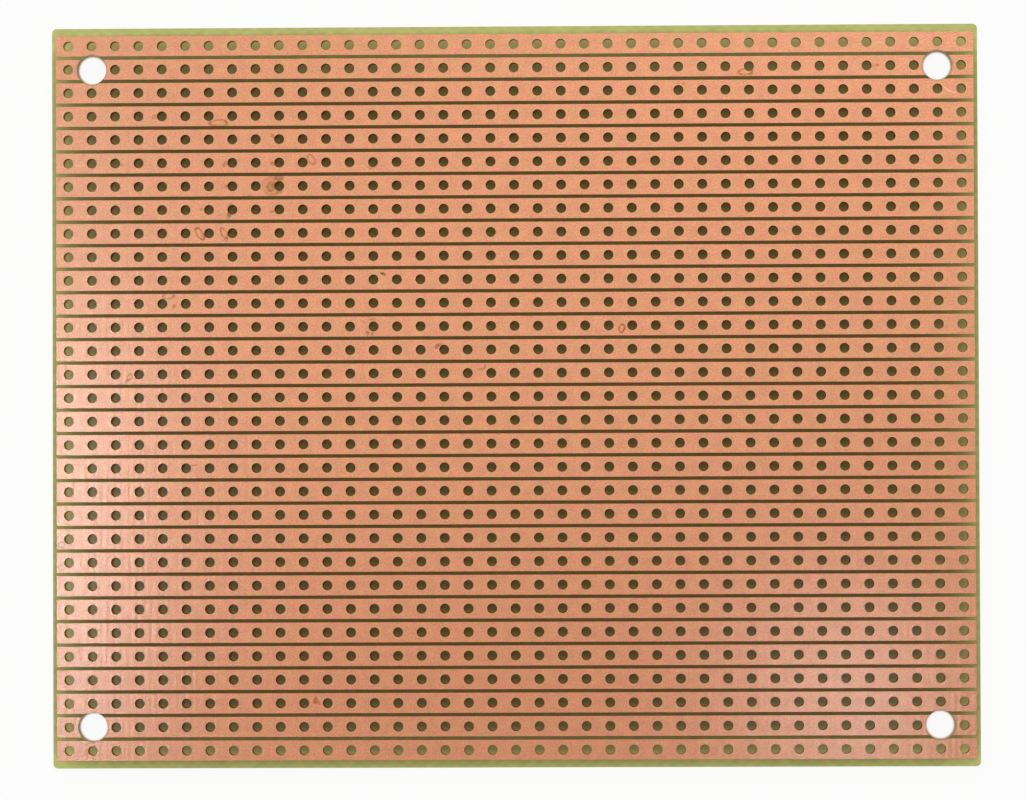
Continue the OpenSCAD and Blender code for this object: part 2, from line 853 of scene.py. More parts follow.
# Marks that the board has picked up, mostly outlines of dried droplets and spots of tarnish.
MARKS = (
    Mark(MarkKind.DROPLET, -32.0, 29.72, 1.85, 0.72, turn=3),
    Mark(MarkKind.STAIN, -32.45, 29.5, 0.8, 0.3, turn=-15, weight=0.45),
    Mark(MarkKind.DROPLET, -34.0, 17.72, 1.45, 0.66, turn=-54, weight=1.1),
    Mark(MarkKind.STAIN, -33.75, 17.6, 0.95, 0.45, turn=-58, weight=0.4),
    Mark(MarkKind.DROPLET, -31.37, 17.76, 1.12, 0.56, turn=-54),
    Mark(MarkKind.STAIN, -31.2, 17.15, 0.6, 0.45, turn=-60, weight=0.8),
    Mark(MarkKind.DROPLET, 11.58, 7.32, 0.8, 0.58, turn=75, weight=1.2),
    Mark(MarkKind.DROPLET, 25.0, 34.95, 1.5, 0.65, turn=8),
    Mark(MarkKind.STAIN, 25.65, 34.75, 0.4, 0.35, weight=0.9),
    Mark(MarkKind.DROPLET, -37.45, 11.0, 1.15, 0.6, turn=5, weight=0.8),
    Mark(MarkKind.STAIN, -36.85, 9.9, 0.65, 0.4, turn=80, weight=0.7),
    Mark(MarkKind.DROPLET, -49.1, -15.85, 0.8, 0.6, turn=35),
    Mark(MarkKind.DROPLET, -21.9, 25.7, 1.1, 0.75, turn=-60, weight=0.7),
    Mark(MarkKind.STAIN, -26.0, 22.9, 2.9, 2.2, turn=70, weight=0.4),
    Mark(MarkKind.DROPLET, -26.2, 22.9, 2.0, 1.9, weight=0.35),
    Mark(MarkKind.DROPLET, -26.25, 22.8, 0.95, 0.8, turn=60, weight=0.85),
    Mark(MarkKind.SOOT, -26.3, 22.75, 1.05, 0.75, turn=60, weight=0.35),
    Mark(MarkKind.SOOT, -25.5, 22.15, 0.9, 0.45, turn=10, weight=0.45),
    Mark(MarkKind.SOOT, -25.4, 23.75, 1.3, 0.8, turn=15, weight=0.6),
    Mark(MarkKind.SOOT, -26.05, 22.95, 0.7, 0.5, turn=70, weight=0.5),
    Mark(MarkKind.STAIN, -31.15, 22.85, 0.55, 0.4, turn=20),
    Mark(MarkKind.STAIN, -30.8, 20.8, 0.8, 0.4, turn=40, weight=0.7),
    Mark(MarkKind.SOOT, -30.85, 19.75, 0.95, 0.65, turn=65, weight=0.9),
    Mark(MarkKind.STAIN, -31.3, 25.3, 0.9, 0.5, turn=60, weight=0.8),
    Mark(MarkKind.STAIN, -26.05, 25.3, 0.7, 0.6, weight=0.8),
    Mark(MarkKind.STAIN, -26.1, 28.3, 0.8, 0.4, turn=-60),
    Mark(MarkKind.STAIN, -26.2, 20.1, 0.6, 0.4, weight=0.7),
    Mark(MarkKind.STAIN, -28.5, 21.8, 0.7, 0.4, turn=-20, weight=0.5),
    Mark(MarkKind.STAIN, -33.9, 20.4, 0.4, 0.35, weight=0.6),
    Mark(MarkKind.STAIN, -38.9, 30.45, 0.8, 0.5, turn=35, weight=0.6),
    Mark(MarkKind.SOOT, -14.2, 13.3, 0.62, 0.32, turn=-25, weight=1.2),
    Mark(MarkKind.STAIN, -15.35, 8.35, 1.0, 0.45, turn=5, weight=0.6),
    Mark(MarkKind.STAIN, -15.9, 6.95, 0.6, 0.45, turn=80, weight=0.9),
    Mark(MarkKind.SOOT, -15.4, 6.9, 0.55, 0.3, turn=85, weight=0.7),
    Mark(MarkKind.STAIN, -16.3, 8.1, 0.8, 0.35, turn=-30, weight=0.4),
    Mark(MarkKind.SOOT, -8.4, 5.45, 0.6, 0.45, turn=60, weight=0.9),
    Mark(MarkKind.STAIN, -8.05, 5.6, 0.7, 0.45, turn=10, weight=0.9),
    Mark(MarkKind.SOOT, -3.25, 3.2, 0.7, 0.26, turn=75, weight=0.7),
    Mark(MarkKind.STAIN, -3.7, 2.95, 1.0, 0.4, weight=0.5),
    Mark(MarkKind.STAIN, 39.25, 35.6, 0.45, 0.38, weight=1.1),
    Mark(MarkKind.STAIN, 38.85, 35.5, 0.4, 0.35, weight=0.5),
    Mark(MarkKind.STAIN, -21.65, -32.75, 0.95, 0.6, turn=75, weight=1.2),
    Mark(MarkKind.STAIN, -21.3, -33.0, 0.65, 0.35, turn=-30, weight=0.9),
    Mark(MarkKind.DROPLET, -41.65, 2.3, 0.75, 0.45, turn=70, weight=0.9),
    Mark(MarkKind.SOOT, -42.0, 1.8, 0.75, 0.45, turn=45, weight=0.5),
    Mark(MarkKind.STAIN, -34.7, -7.3, 0.95, 0.22, turn=8, weight=0.9),
    Mark(MarkKind.SOOT, -45.1, -25.05, 0.5, 0.28, turn=30, weight=0.6),
    Mark(MarkKind.SOOT, 1.9, -1.95, 0.35, 0.3, weight=0.5),
    Mark(MarkKind.STAIN, -15.5, 24.8, 0.95, 0.4, turn=-5, weight=0.55),
    Mark(MarkKind.STAIN, 18.35, 33.75, 0.5, 0.42, turn=40, weight=0.65),
    Mark(MarkKind.STAIN, 43.85, 13.5, 0.42, 0.5, turn=15, weight=0.5),
    Mark(MarkKind.STAIN, -49.3, 23.62, 0.3, 0.55, turn=-10, weight=0.8),
    Mark(MarkKind.STAIN, -46.35, 15.6, 0.55, 0.42, turn=80, weight=0.55),
    Mark(MarkKind.STAIN, -42.5, 25.25, 0.55, 0.32, turn=-25, weight=0.55),
    Mark(MarkKind.STAIN, -41.2, 23.15, 0.42, 0.32, weight=0.55),
    Mark(MarkKind.SOOT, -40.45, 22.15, 0.55, 0.32, turn=20, weight=0.3),
    Mark(MarkKind.STAIN, -46.1, 21.0, 0.5, 0.4, weight=0.35),
    Mark(MarkKind.STAIN, -38.15, 0.8, 0.5, 0.5, weight=0.35),
    Mark(MarkKind.STAIN, -43.75, -17.2, 0.5, 0.4, turn=30, weight=0.4),
    Mark(MarkKind.DROPLET, -49.1, -18.3, 0.6, 0.55, weight=0.6),
    Mark(MarkKind.STAIN, -49.0, -28.0, 0.4, 0.32, weight=0.65),
    Mark(MarkKind.STAIN, -48.65, -31.1, 0.5, 0.38, turn=35, weight=0.7),
    Mark(MarkKind.STAIN, -46.5, -38.35, 0.75, 0.5, turn=55, weight=0.65),
    Mark(MarkKind.SCRATCH, 47.0, 32.75, 1.7, 0.12, turn=-24, weight=0.5, bend=0.12),
)


@dataclass(frozen=True)
class CopperFoil:
    """Bare satin copper foil, lightly tarnished and faintly printed by the glass cloth under it.

    Attributes:
        bright: Its orange tone.
        rosy: Its pink tone.
        ochre: Its yellower tone, in fine streaks along the strips.
        rim: Ring of a duller tone round a lead hole.
        hole_wall_shade_ring: Ring of dark olive round a mounting hole, painted shade of the hole's
            wall.
        painted_front_shade: Painted shade towards the front edge: the share of red, green and blue
            light left there.
        front_shade_reach: Places across the strips between which that painted shade sets in.
        droplet: Outline that a dried droplet leaves.
        residue: Thin film that is left inside it.
        stain: Brown of a blot.
        soot: Olive of a darker blot.
        hairline: Bare metal in a scratch.
        droplet_line: Width of a droplet's outline.
        grazing: Tint that keeps the metal coppery when it is seen edge on.
        roughness: How matt the metal is.
        film: How matt the thin clear film on it is, which carries the white glints.
        blotches: Where the pink tone shows.
        streaks: Where the yellower tone shows.
        grains: Fine light and dark grain, as a factor.
        clouds: Wide lighter and darker clouds, as a factor.
        cloth_pitch: Distance between threads of the glass cloth, along and across the strips.
        cloth_wander: How those threads wander, and how far, in millimetres.
        dents: The soft ripples, the fine rolling lines and the grain of the relief.
        threads: What the threads add to the relief, along and across the strips.
        ripples: What soft ripples add to it.
        lines: What the rolling lines add.
        grain: What the grain adds.
        metal_relief: Height of the relief in the metal, in millimetres.
        film_relief: Height of the relief in the film.
        shaking: How the edges of the marks wander, in lumps in each millimetre, and how far.
        mottle: The pattern that breaks the marks up.
    """

    bright: Colour = shade(187, 125, 86)
    rosy: Colour = shade(190, 118, 92)
    ochre: Colour = shade(173, 130, 83)
    rim: Ring = Ring(shade(178, 129, 92), 0.04, 0.28, 0.55)
    hole_wall_shade_ring: Ring = Ring(shade(112, 86, 44), 0.04, 0.2, 0.4)
    painted_front_shade: Colour = (0.87, 0.80, 0.765)
    front_shade_reach: Pair = (10.0, -40.0)
    droplet: Colour = shade(134, 62, 10)
    residue: Colour = shade(174, 126, 62)
    stain: Colour = shade(146, 74, 18)
    soot: Colour = shade(92, 58, 6)
    hairline: Colour = shade(246, 196, 160)
    droplet_line: float = 0.11
    grazing: Colour = (0.88, 0.73, 0.63)
    roughness: float = 0.4
    film: float = 0.12
    blotches: Cloud = Cloud(1.0, 4.0, 0.65, reads=(0.36, 0.64))
    streaks: Cloud = Cloud(1.0, 3.0, 0.6, stretch=(0.7, 4.2), reads=(0.4, 0.7), gives=(0.0, 0.7))
    grains: Cloud = Cloud(5.5, gives=(0.86, 1.12))
    clouds: Cloud = Cloud(0.8, 3.0, gives=(0.95, 1.05))
    cloth_pitch: Pair = (0.75, 0.62)
    cloth_wander: Pair = (0.12, 0.6)
    dents: tuple[Cloud, ...] = (Cloud(stretch=(2.0, 0.25)), Cloud(stretch=(0.6, 5.0)), Cloud(5.0))
    threads: Pair = (0.05, 0.015)
    ripples: float = 0.65
    lines: float = 0.2
    grain: float = 0.52
    metal_relief: float = 0.02
    film_relief: float = 0.009
    shaking: Pair = (1.6, 0.35)
    mottle: Cloud = Cloud(3.2, 3.0)

    def tone(self, bench: NodeBench, flat: Feed, grid: HoleGrid) -> Socket:
        """Mixes the metal's colour without its marks, with painted shade by the front edge and round
        the mounting holes.

        Args:
            bench: Where the nodes go.
            flat: Place on the foil.
            grid: The hole grid, which the tone round the holes follows.

        Returns:
            The colour.
        """
        colour = bench.mix(self.blotches.read(bench, flat), self.bright, self.rosy)
        colour = bench.mix(self.streaks.read(bench, flat), colour, self.ochre)
        x, y, _ = bench.split(flat)
        colour = self.rim.lay(bench, colour, from_lead_hole(bench, x, y, grid), grid.lead_radius)
        # Painted shade: a dark olive ring on the foil round each mounting hole stands in for the
        # shade of its wall.
        to_mounting = from_mounting_hole(bench, x, y, grid)
        colour = self.hole_wall_shade_ring.lay(bench, colour, to_mounting, grid.mounting[0].radius)
        colour = bench.dim(colour, self.grains.read(bench, flat), self.clouds.read(bench, flat))
        # Painted shade: the foil is darker towards the front edge, where less light falls.
        return bench.mix(bench.ramp(y, *self.front_shade_reach), colour, self.painted_front_shade, "MULTIPLY")

    def add_scratch(self, bench: NodeBench, colour: Feed, local: Feed, mark: Mark) -> Socket:
        """Lays a scratch over the colour.

        Args:
            bench: Where the nodes go.
            colour: The colour under it.
            local: Place on the mark, whose ends and sides are at 1.
            mark: The mark.

        Returns:
            The colour with the scratch in it.
        """
        u, v, _ = bench.split(local)
        rise = mark.bend * mark.length / mark.width * 2
        curl = bench.math("MULTIPLY", bench.math("MULTIPLY", u, u), rise)
        line = bench.ramp(bench.math("ABSOLUTE", bench.math("SUBTRACT", v, curl)), 1.0, 0.3)
        ends = bench.ramp(bench.math("ABSOLUTE", u), 1.0, 0.8)
        share = bench.math("MULTIPLY", bench.math("MULTIPLY", line, ends), mark.weight)
        return bench.mix(share, colour, self.hairline)

    def add_droplet(
        self, bench: NodeBench, colour: Feed, radius: Feed, mottle: Feed, mark: Mark
    ) -> Socket:
        """Lays the outline and the thin residue of a dried droplet over the colour.

        Args:
            bench: Where the nodes go.
            colour: The colour under them.
            radius: Distance from the middle of the mark, which is 1 at its edge.
            mottle: A cloudy pattern that breaks the outline up.
            mark: The mark.

        Returns:
            The colour with the droplet on it.
        """
        thin = self.droplet_line / math.sqrt(mark.length * mark.width / 4)
        off = bench.math("ABSOLUTE", bench.math("SUBTRACT", radius, 1.0))
        broken = bench.ramp(mottle, 0.35, 0.55, 0.45, 1.0)
        edge = bench.math("MULTIPLY", bench.ramp(off, 1.6 * thin, 0.3 * thin), broken)
        within = bench.ramp(radius, 1.0, 0.8, 0.0, 0.3)
        dried = bench.math("MULTIPLY", within, mark.weight, clamp=True)
        colour = bench.mix(dried, colour, self.residue)
        share = bench.math("MULTIPLY", edge, mark.weight * 0.8, clamp=True)
        return bench.mix(share, colour, self.droplet)

    def add_blot(
        self, bench: NodeBench, colour: Feed, radius: Feed, mottle: Feed, mark: Mark
    ) -> Socket:
        """Lays a soft blot over the colour.

        Args:
            bench: Where the nodes go.
            colour: The colour under it.
            radius: Distance from the middle of the mark, which is 1 at its edge.
            mottle: A cloudy pattern that makes the blot patchy.
            mark: The mark.

        Returns:
            The colour with the blot on it.
        """
        patchy = bench.ramp(mottle, 0.38, 0.55, 0.6, 1.0)
        blot = bench.math("MULTIPLY", bench.ramp(radius, 1.15, 0.65), patchy)
        share = bench.math("MULTIPLY", blot, mark.weight * 0.85, clamp=True)
        return bench.mix(share, colour, self.soot if mark.kind is MarkKind.SOOT else self.stain)

    def add_mark(
        self, bench: NodeBench, colour: Feed, spot: Feed, mottle: Feed, mark: Mark
    ) -> Socket:
        """Lays one mark over the colour.

        Args:
            bench: Where the nodes go.
            colour: The colour under the mark.
            spot: Place on the foil, shaken a little so that edges wander.
            mottle: A cloudy pattern that breaks the mark up.
            mark: The mark.

        Returns:
            The colour with the mark on it.
        """
        mapping = bench.add("Mapping", vector_type="TEXTURE")
        bench.feed(mapping.inputs["Vector"], spot)
        mapping.inputs["Location"].default_value = (mark.x, mark.y, 0)
        mapping.inputs["Rotation"].default_value = (0, 0, math.radians(mark.turn))
        mapping.inputs["Scale"].default_value = (mark.length / 2, mark.width / 2, 1)
        local = mapping.outputs[0]
        if mark.kind is MarkKind.SCRATCH:
            return self.add_scratch(bench, colour, local, mark)
        add = self.add_droplet if mark.kind is MarkKind.DROPLET else self.add_blot
        return add(bench, colour, bench.vector("LENGTH", local), mottle, mark)

    def relief(self, bench: NodeBench, flat: Feed) -> Socket:
        """Makes the slight relief: the cloth's threads, soft ripples, fine rolling lines and grain.

        Args:
            bench: Where the nodes go.
            flat: Place on the foil.

        Returns:
            Its height, as a number without a unit.
        """
        x, y, _ = bench.split(bench.shaken(flat, *self.cloth_wander))
        threads = (
            bench.math("COSINE", bench.math("MULTIPLY", part, math.tau / pitch))
            for part, pitch in zip((x, y), self.cloth_pitch, strict=True)
        )
        dents = (dent.plain(bench, flat) for dent in self.dents)
        weights = (*self.threads, self.ripples, self.lines, self.grain)
        height = 0.0
        for part, weight in zip((*threads, *dents), weights, strict=True):
            height = bench.math("MULTIPLY_ADD", part, weight, height)
        return height

    def material(self, name: str, marks: Iterable[Mark], grid: HoleGrid) -> bpy.types.Material:
        """Builds the finish.

        Args:
            name: Name of the material.
            marks: The marks that the piece bears.
            grid: The hole grid.

        Returns:
            The material.
        """
        bench = NodeBench(name)
        x, y, _ = bench.split(bench.place())
        flat = bench.join(x, y)
        colour = self.tone(bench, flat, grid)
        marks = tuple(marks)
        if marks:
            spot = bench.shaken(flat, *self.shaking)
            mottle = self.mottle.plain(bench, flat)
            for mark in marks:
                colour = self.add_mark(bench, colour, spot, mottle, mark)
        relief = self.relief(bench, flat)
        surface = bench.shader(
            "BsdfPrincipled",
            Base_Color=colour,
            Metallic=1.0,
            Roughness=self.roughness,
            Specular_Tint=self.grazing,
            Normal=bench.bump(relief, self.metal_relief),
            Coat_Weight=1.0,
            Coat_Roughness=self.film,
            Coat_Normal=bench.bump(relief, self.film_relief),
        )
        return bench.finish(surface)


@dataclass(frozen=True)
class PaintedEdgeDaylight:
    """Painted daylight that seeps into the pale sheet through its routed edges and fades inwards.

    Attributes:
        rear: What gets in at the rear edge: the share that fades fast, and the one that reaches far.
        left: What gets in at the left edge.
        right: What gets in at the right edge.
        front: What gets in at the front edge.
        reaches: Depths at which about a third of the two shares is left.
    """

    rear: Pair = (1.25, 0.1)
    left: Pair = (0.5, 0.26)
    right: Pair = (0.5, 0.14)
    front: Pair = (0.7, 0.07)
    reaches: Pair = (1.4, 4.0)

    def share(self, bench: NodeBench, place: Feed, span: Span) -> Socket:
        """Adds up what gets in at the four edges.

        Args:
            bench: Where the nodes go.
            place: Place in or under the sheet.
            span: Box of the sheet.

        Returns:
            How much daylight there is, from 0 to 1.
        """
        x, y, _ = bench.split(place)
        depths = (
            (self.rear, bench.math("SUBTRACT", span.rear, y)),
            (self.left, bench.math("SUBTRACT", x, span.left)),
            (self.right, bench.math("SUBTRACT", span.right, x)),
            (self.front, bench.math("SUBTRACT", y, span.front)),
        )
        total = 0.0
        for shares, depth in depths:
            for share, reach in zip(shares, self.reaches, strict=True):
                fading = bench.math("EXPONENT", bench.math("DIVIDE", depth, -reach))
                total = bench.math("MULTIPLY_ADD", fading, share, total)
        return bench.math("MINIMUM", total, 1.0)


@dataclass(frozen=True)
class GlassEpoxy:
    """Yellow-green glass-epoxy laminate, with painted edge light and painted shade between the
    strips.

    Attributes:
        edge_lit_face: The upper face by the edge of the board, lit by painted daylight.
        shaded_gap: The upper face between two strips, well inside the board, in painted shade.
        bore: The wall of a hole well inside the board, away from the painted daylight.
        edge_lit_bore: The wall of a hole next to the edge, lit by painted daylight.
        underside: The bare face.
        shadowed: The bare face where a strip lies behind it.
        ply: The cut edge, in its light plies.
        resin: The cut edge, in its resin lines.
        plies: Number of plies in the sheet.
        cloth_pitch: Distance between threads of the glass cloth.
        roughness: How matt it is.
        shine: How much it mirrors.
        mottle: Lighter and darker clouds in it, as a factor.
        fibres: Factors for the low and high places of the cloth.
        grain: The grain of its surface.
        cloth_height: Height of the cloth beside that of the grain.
        relief: Height of the grain, in millimetres.
        relief_strength: How much of the relief shows.
        waver: How the plies waver on the cut edge.
        waver_share: How far they do, in plies.
        upper_fade: Depths under the upper face from which the bore's colour gives way to the face's.
        lower_fade: Heights over the bare face between which the bore's colour gives way to its.
        edge_fade: Depths behind the routed edge between which that colour gives way to the edge's.
        daylight: How its colour is painted lighter towards the edges.
    """

    edge_lit_face: Colour = shade(196, 197, 118)
    shaded_gap: Colour = shade(87, 67, 22)
    bore: Colour = shade(150, 112, 52)
    edge_lit_bore: Colour = shade(190, 184, 110)
    underside: Colour = shade(168, 170, 102)
    shadowed: Colour = shade(148, 138, 80)
    ply: Colour = shade(196, 194, 140)
    resin: Colour = shade(142, 136, 76)
    plies: int = 8
    cloth_pitch: Pair = (0.75, 0.62)
    roughness: float = 0.42
    shine: float = 0.12
    mottle: Cloud = Cloud(0.7, 4.0, gives=(0.93, 1.06))
    fibres: Pair = (0.96, 1.04)
    grain: Cloud = Cloud(6.0)
    cloth_height: float = 0.3
    relief: float = 0.01
    relief_strength: float = 0.7
    waver: Cloud = Cloud(1.4, 3.0)
    waver_share: float = 1.2
    upper_fade: Pair = (0.03, 0.005)
    lower_fade: Pair = (0.035, 0.012)
    edge_fade: Pair = (0.2, 0.05)
    daylight: PaintedEdgeDaylight = PaintedEdgeDaylight()

    def material(self, name: str, span: Span, grid: HoleGrid) -> bpy.types.Material:
        """Builds the finish.

        Args:
            name: Name of the material.
            span: Box of the sheet.
            grid: The hole grid, whose pitch the strips have too.

        Returns:
            The material.
        """
        bench = NodeBench(name)
        place = bench.place()
        x, y, z = bench.split(place)
        from_end = bench.math("SUBTRACT", span.right, bench.math("ABSOLUTE", x))
        from_side = bench.math("SUBTRACT", span.rear, bench.math("ABSOLUTE", y))
        depth = bench.math("MINIMUM", from_end, from_side)
        # Painted light and shade: faces and bores lighten towards the edges, where daylight seeps in,
        # and the faces between the strips stay in painted shade.
        lit = self.daylight.share(bench, place, span)
        upper = bench.mix(lit, self.shaded_gap, self.edge_lit_face)
        bore = bench.mix(lit, self.bore, self.edge_lit_bore)
        cut_edge = self.cut_edge(bench, place, z, span)
        side = bench.mix(bench.ramp(depth, *self.edge_fade), bore, cut_edge)
        under_top = bench.math("SUBTRACT", span.high, z)
        colour = bench.mix(bench.ramp(under_top, *self.upper_fade), side, upper)
        colour = bench.mix(bench.ramp(z, *self.lower_fade), colour, self.bare_face(bench, y, grid))
        cloth = self.cloth(bench, x, y)
        fibres = bench.ramp(cloth, -1, 1, *self.fibres)
        colour = bench.dim(colour, self.mottle.read(bench, place), fibres)
        height = bench.math("MULTIPLY_ADD", cloth, self.cloth_height, self.grain.plain(bench, place))
        surface = bench.shader(
            "BsdfPrincipled",
            Base_Color=colour,
            Roughness=self.roughness,
            Specular_IOR_Level=self.shine,
            Normal=bench.bump(height, self.relief, self.relief_strength),
        )
        return bench.finish(surface)

    def cloth(self, bench: NodeBench, x: Feed, y: Feed) -> Socket:
        """Makes the plain weave of the glass cloth.

        Args:
            bench: Where the nodes go.
            x: The place along the strips.
            y: The place across them.

        Returns:
            Its height, from -1 to 1.
        """
        return bench.math("MULTIPLY", *(
            bench.math("SINE", bench.math("MULTIPLY", part, math.pi / pitch))
            for part, pitch in zip((x, y), self.cloth_pitch, strict=True)
        ))

    def cut_edge(self, bench: NodeBench, place: Feed, z: Feed, span: Span) -> Socket:
        """Colours the routed edge, where the plies show as fine lines.

        Args:
            bench: Where the nodes go.
            place: Place on the sheet.
            z: Height over the bare face.
            span: Box of the sheet.

        Returns:
            The colour.
        """
        flattened = bench.vector("MULTIPLY", place, (1.0, 1.0, 0.2))
        wavering = bench.math("MULTIPLY", self.waver.plain(bench, flattened), self.waver_share)
        level = bench.math("MULTIPLY_ADD", z, self.plies / span.high, wavering)
        stripe = bench.math("SINE", bench.math("MULTIPLY", level, math.tau))
        return bench.mix(bench.ramp(stripe, -0.2, 0.95), self.ply, self.resin)

    def bare_face(self, bench: NodeBench, y: Feed, grid: HoleGrid) -> Socket:
        """Colours the bare face, through which the strips show as faint darker bands.

        Args:
            bench: Where the nodes go.
            y: The place across the strips.
            grid: The hole grid, whose pitch the strips have too.

        Returns:
            The colour.
        """
        half = grid.pitch / 2
        across = bench.math("ABSOLUTE", bench.math("WRAP", y, half, -half))
        return bench.mix(bench.ramp(across, half - 0.05, half - 0.5), self.underside, self.shadowed)


@dataclass(frozen=True)
class PaleFloor:
    """A plain white floor that keeps a soft shadow, with painted shade and painted glow under the
    board.

    Attributes:
        paper: Its colour.
        painted_shade_under_board: Its colour under the board, painted shade in the olive light that
            gets through the sheet.
        painted_wall_tint: That colour close to the wall of a hole, a painted brown light from the
            wall.
        painted_seep_glow: Painted glow on it under the edges of the sheet, for daylight that lights
            the holes there.
        gloss: Faint gloss that it has under the board.
        gloss_roughness: How blurred that gloss is.
        daylight: How the painted daylight fades inwards.
        lift: How much of it shows plain white to the camera, whatever falls on it.
        margin: How far under the edge of the board it still counts as in the open.
        hole_margin: How far past the rim of a mounting hole it counts as part of the hole.
        wall_reach: Distances from the middle of a lead hole between which the wall's painted tint
            sets in.
        rim_shade_reach: Distances inside a mounting hole's rim between which the floor turns from
            painted shade to white.
        whiteness_in_rim_shade: How white it is at the rim itself, in that painted shade.
    """

    paper: Colour = (0.9, 0.9, 0.9)
    painted_shade_under_board: Colour = (0.322, 0.337, 0.066)
    painted_wall_tint: Colour = (0.66, 0.35, 0.066)
    painted_seep_glow: Colour = (0.46, 0.40, 0.15)
    gloss: Colour = (0.01, 0.01, 0.01)
    gloss_roughness: float = 0.16
    daylight: PaintedEdgeDaylight = PaintedEdgeDaylight()
    lift: float = 0.91
    margin: float = 0.2
    hole_margin: float = 0.3
    wall_reach: Pair = (0.05, 0.5)
    rim_shade_reach: Pair = (0.02, 0.26)
    whiteness_in_rim_shade: float = 0.1

    def in_the_open(self, bench: NodeBench, x: Feed, y: Feed, span: Span, grid: HoleGrid) -> Socket:
        """Finds where the floor lies in the open, past the board or in a mounting hole.

        Args:
            bench: Where the nodes go.
            x: The place along the strips.
            y: The place across them.
            span: Box of the board.
            grid: The hole grid.

        Returns:
            How open it lies, from 0 to 1.
        """
        past_end = bench.math("GREATER_THAN", bench.math("ABSOLUTE", x), span.right - self.margin)
        past_side = bench.math("GREATER_THAN", bench.math("ABSOLUTE", y), span.rear - self.margin)
        outside = bench.math("MAXIMUM", past_end, past_side)
        distance = from_mounting_hole(bench, x, y, grid)
        radius = grid.mounting[0].radius
        # Painted shade: inside a mounting hole the floor darkens towards the rim, as the shadow of
        # the wall.
        dark, white = self.rim_shade_reach
        opened = bench.ramp(distance, radius - dark, radius - white, self.whiteness_in_rim_shade, 1.0)
        near = bench.math("LESS_THAN", distance, radius + self.hole_margin)
        return bench.math("MAXIMUM", outside, bench.math("MULTIPLY", near, opened))

    def looked_at(self, bench: NodeBench) -> Socket:
        """Finds whether the floor is looked at, straight or by way of metal or glass.

        Args:
            bench: Where the nodes go.

        Returns:
            1 where it is, and 0 where it only sends light on.
        """
        seen = bench.add("LightPath").outputs
        either = bench.math("MAXIMUM", seen["Is Camera Ray"], seen["Is Glossy Ray"])
        return bench.math("MAXIMUM", either, seen["Is Transmission Ray"])

    def material(self, name: str, span: Span, grid: HoleGrid) -> bpy.types.Material:
        """Builds the finish.

        Args:
            name: Name of the material.
            span: Box of the board, under which the floor gets no lift.
            grid: The hole grid, whose mounting holes show the white floor.

        Returns:
            The material.
        """
        bench = NodeBench(name)
        place = bench.place()
        x, y, _ = bench.split(place)
        open_air = self.in_the_open(bench, x, y, span, grid)
        looked_at = self.looked_at(bench)
        lifted = bench.math("MULTIPLY", bench.math("MULTIPLY", looked_at, open_air), self.lift)
        # Painted shade: under the board the floor is dim olive, and brown close to the wall of each
        # lead hole.
        walled = bench.ramp(from_lead_hole(bench, x, y, grid), *self.wall_reach)
        covered = bench.mix(walled, self.painted_shade_under_board, self.painted_wall_tint)
        matt = bench.shader("BsdfDiffuse", Color=bench.mix(open_air, covered, self.paper))
        unlifted = bench.math("SUBTRACT", looked_at, lifted)
        # Painted light: under the edges of the sheet the floor glows, standing in for daylight that
        # seeps through the sheet.
        daylight = bench.math("MULTIPLY", self.daylight.share(bench, place, span), unlifted)
        painted_seep_glow = bench.shader("Emission", Color=self.painted_seep_glow, Strength=daylight)
        gloss = bench.shader(
            "BsdfGlossy",
            Color=bench.mix(open_air, self.gloss, (0.0, 0.0, 0.0)),
            Roughness=self.gloss_roughness,
        )
        lit = bench.both(bench.both(matt, painted_seep_glow), gloss)
        white = bench.shader("Emission", Strength=1.0)
        shown = bench.add("MixShader")
        for socket, value in zip(shown.inputs, (lifted, lit, white), strict=True):
            bench.feed(socket, value)
        return bench.finish(shown.outputs[0])


# ---------------------------------------------------------------- pieces of the board


def as_piece(
    mesh: bpy.types.Mesh, name: str, node: str, finish: bpy.types.Material
) -> bpy.types.Object:
    """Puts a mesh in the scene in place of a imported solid.

    Args:
        mesh: The finished mesh.
        name: Name of the piece.
        node: The solid that it stands for.
        finish: Its material.

    Returns:
        The piece.
    """
    mesh.materials.append(finish)
    piece = bpy.data.objects.new(name, mesh)
    bpy.context.scene.collection.objects.link(piece)
    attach(piece, BODY)
    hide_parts(node)
    log.info("%s: %d faces, stands for %s", name, len(mesh.polygons), node)
    return piece


@dataclass
class Laminate:
    """The drilled glass-epoxy sheet.

    Attributes:
        grid: The hole grid.
        span: Its box.
        corner_radius: Radius of its routed corners.
        edge_break: Width of the broken edges on its bare face.
        finish: How it looks.
    """

    grid: HoleGrid
    span: Span = field(default_factory=lambda: Span.of("laminate"))
    corner_radius: float = 0.5
    edge_break: float = 0.03
    finish: GlassEpoxy = field(default_factory=GlassEpoxy)

    def build(self) -> bpy.types.Object:
        """Builds the sheet.

        Returns:
            The piece.
        """
        plate = CutPlate(
            outline=rounded_outline(self.span, self.corner_radius),
            holes=[*self.grid.lead_holes(), *self.grid.mounting],
            low=self.span.low,
            high=self.span.high,
            low_break=self.edge_break,
        )
        finish = self.finish.material("glass_epoxy", self.span, self.grid)
        name = "laminate_sheet"
        return as_piece(plate.mesh(name), name, "laminate", finish)


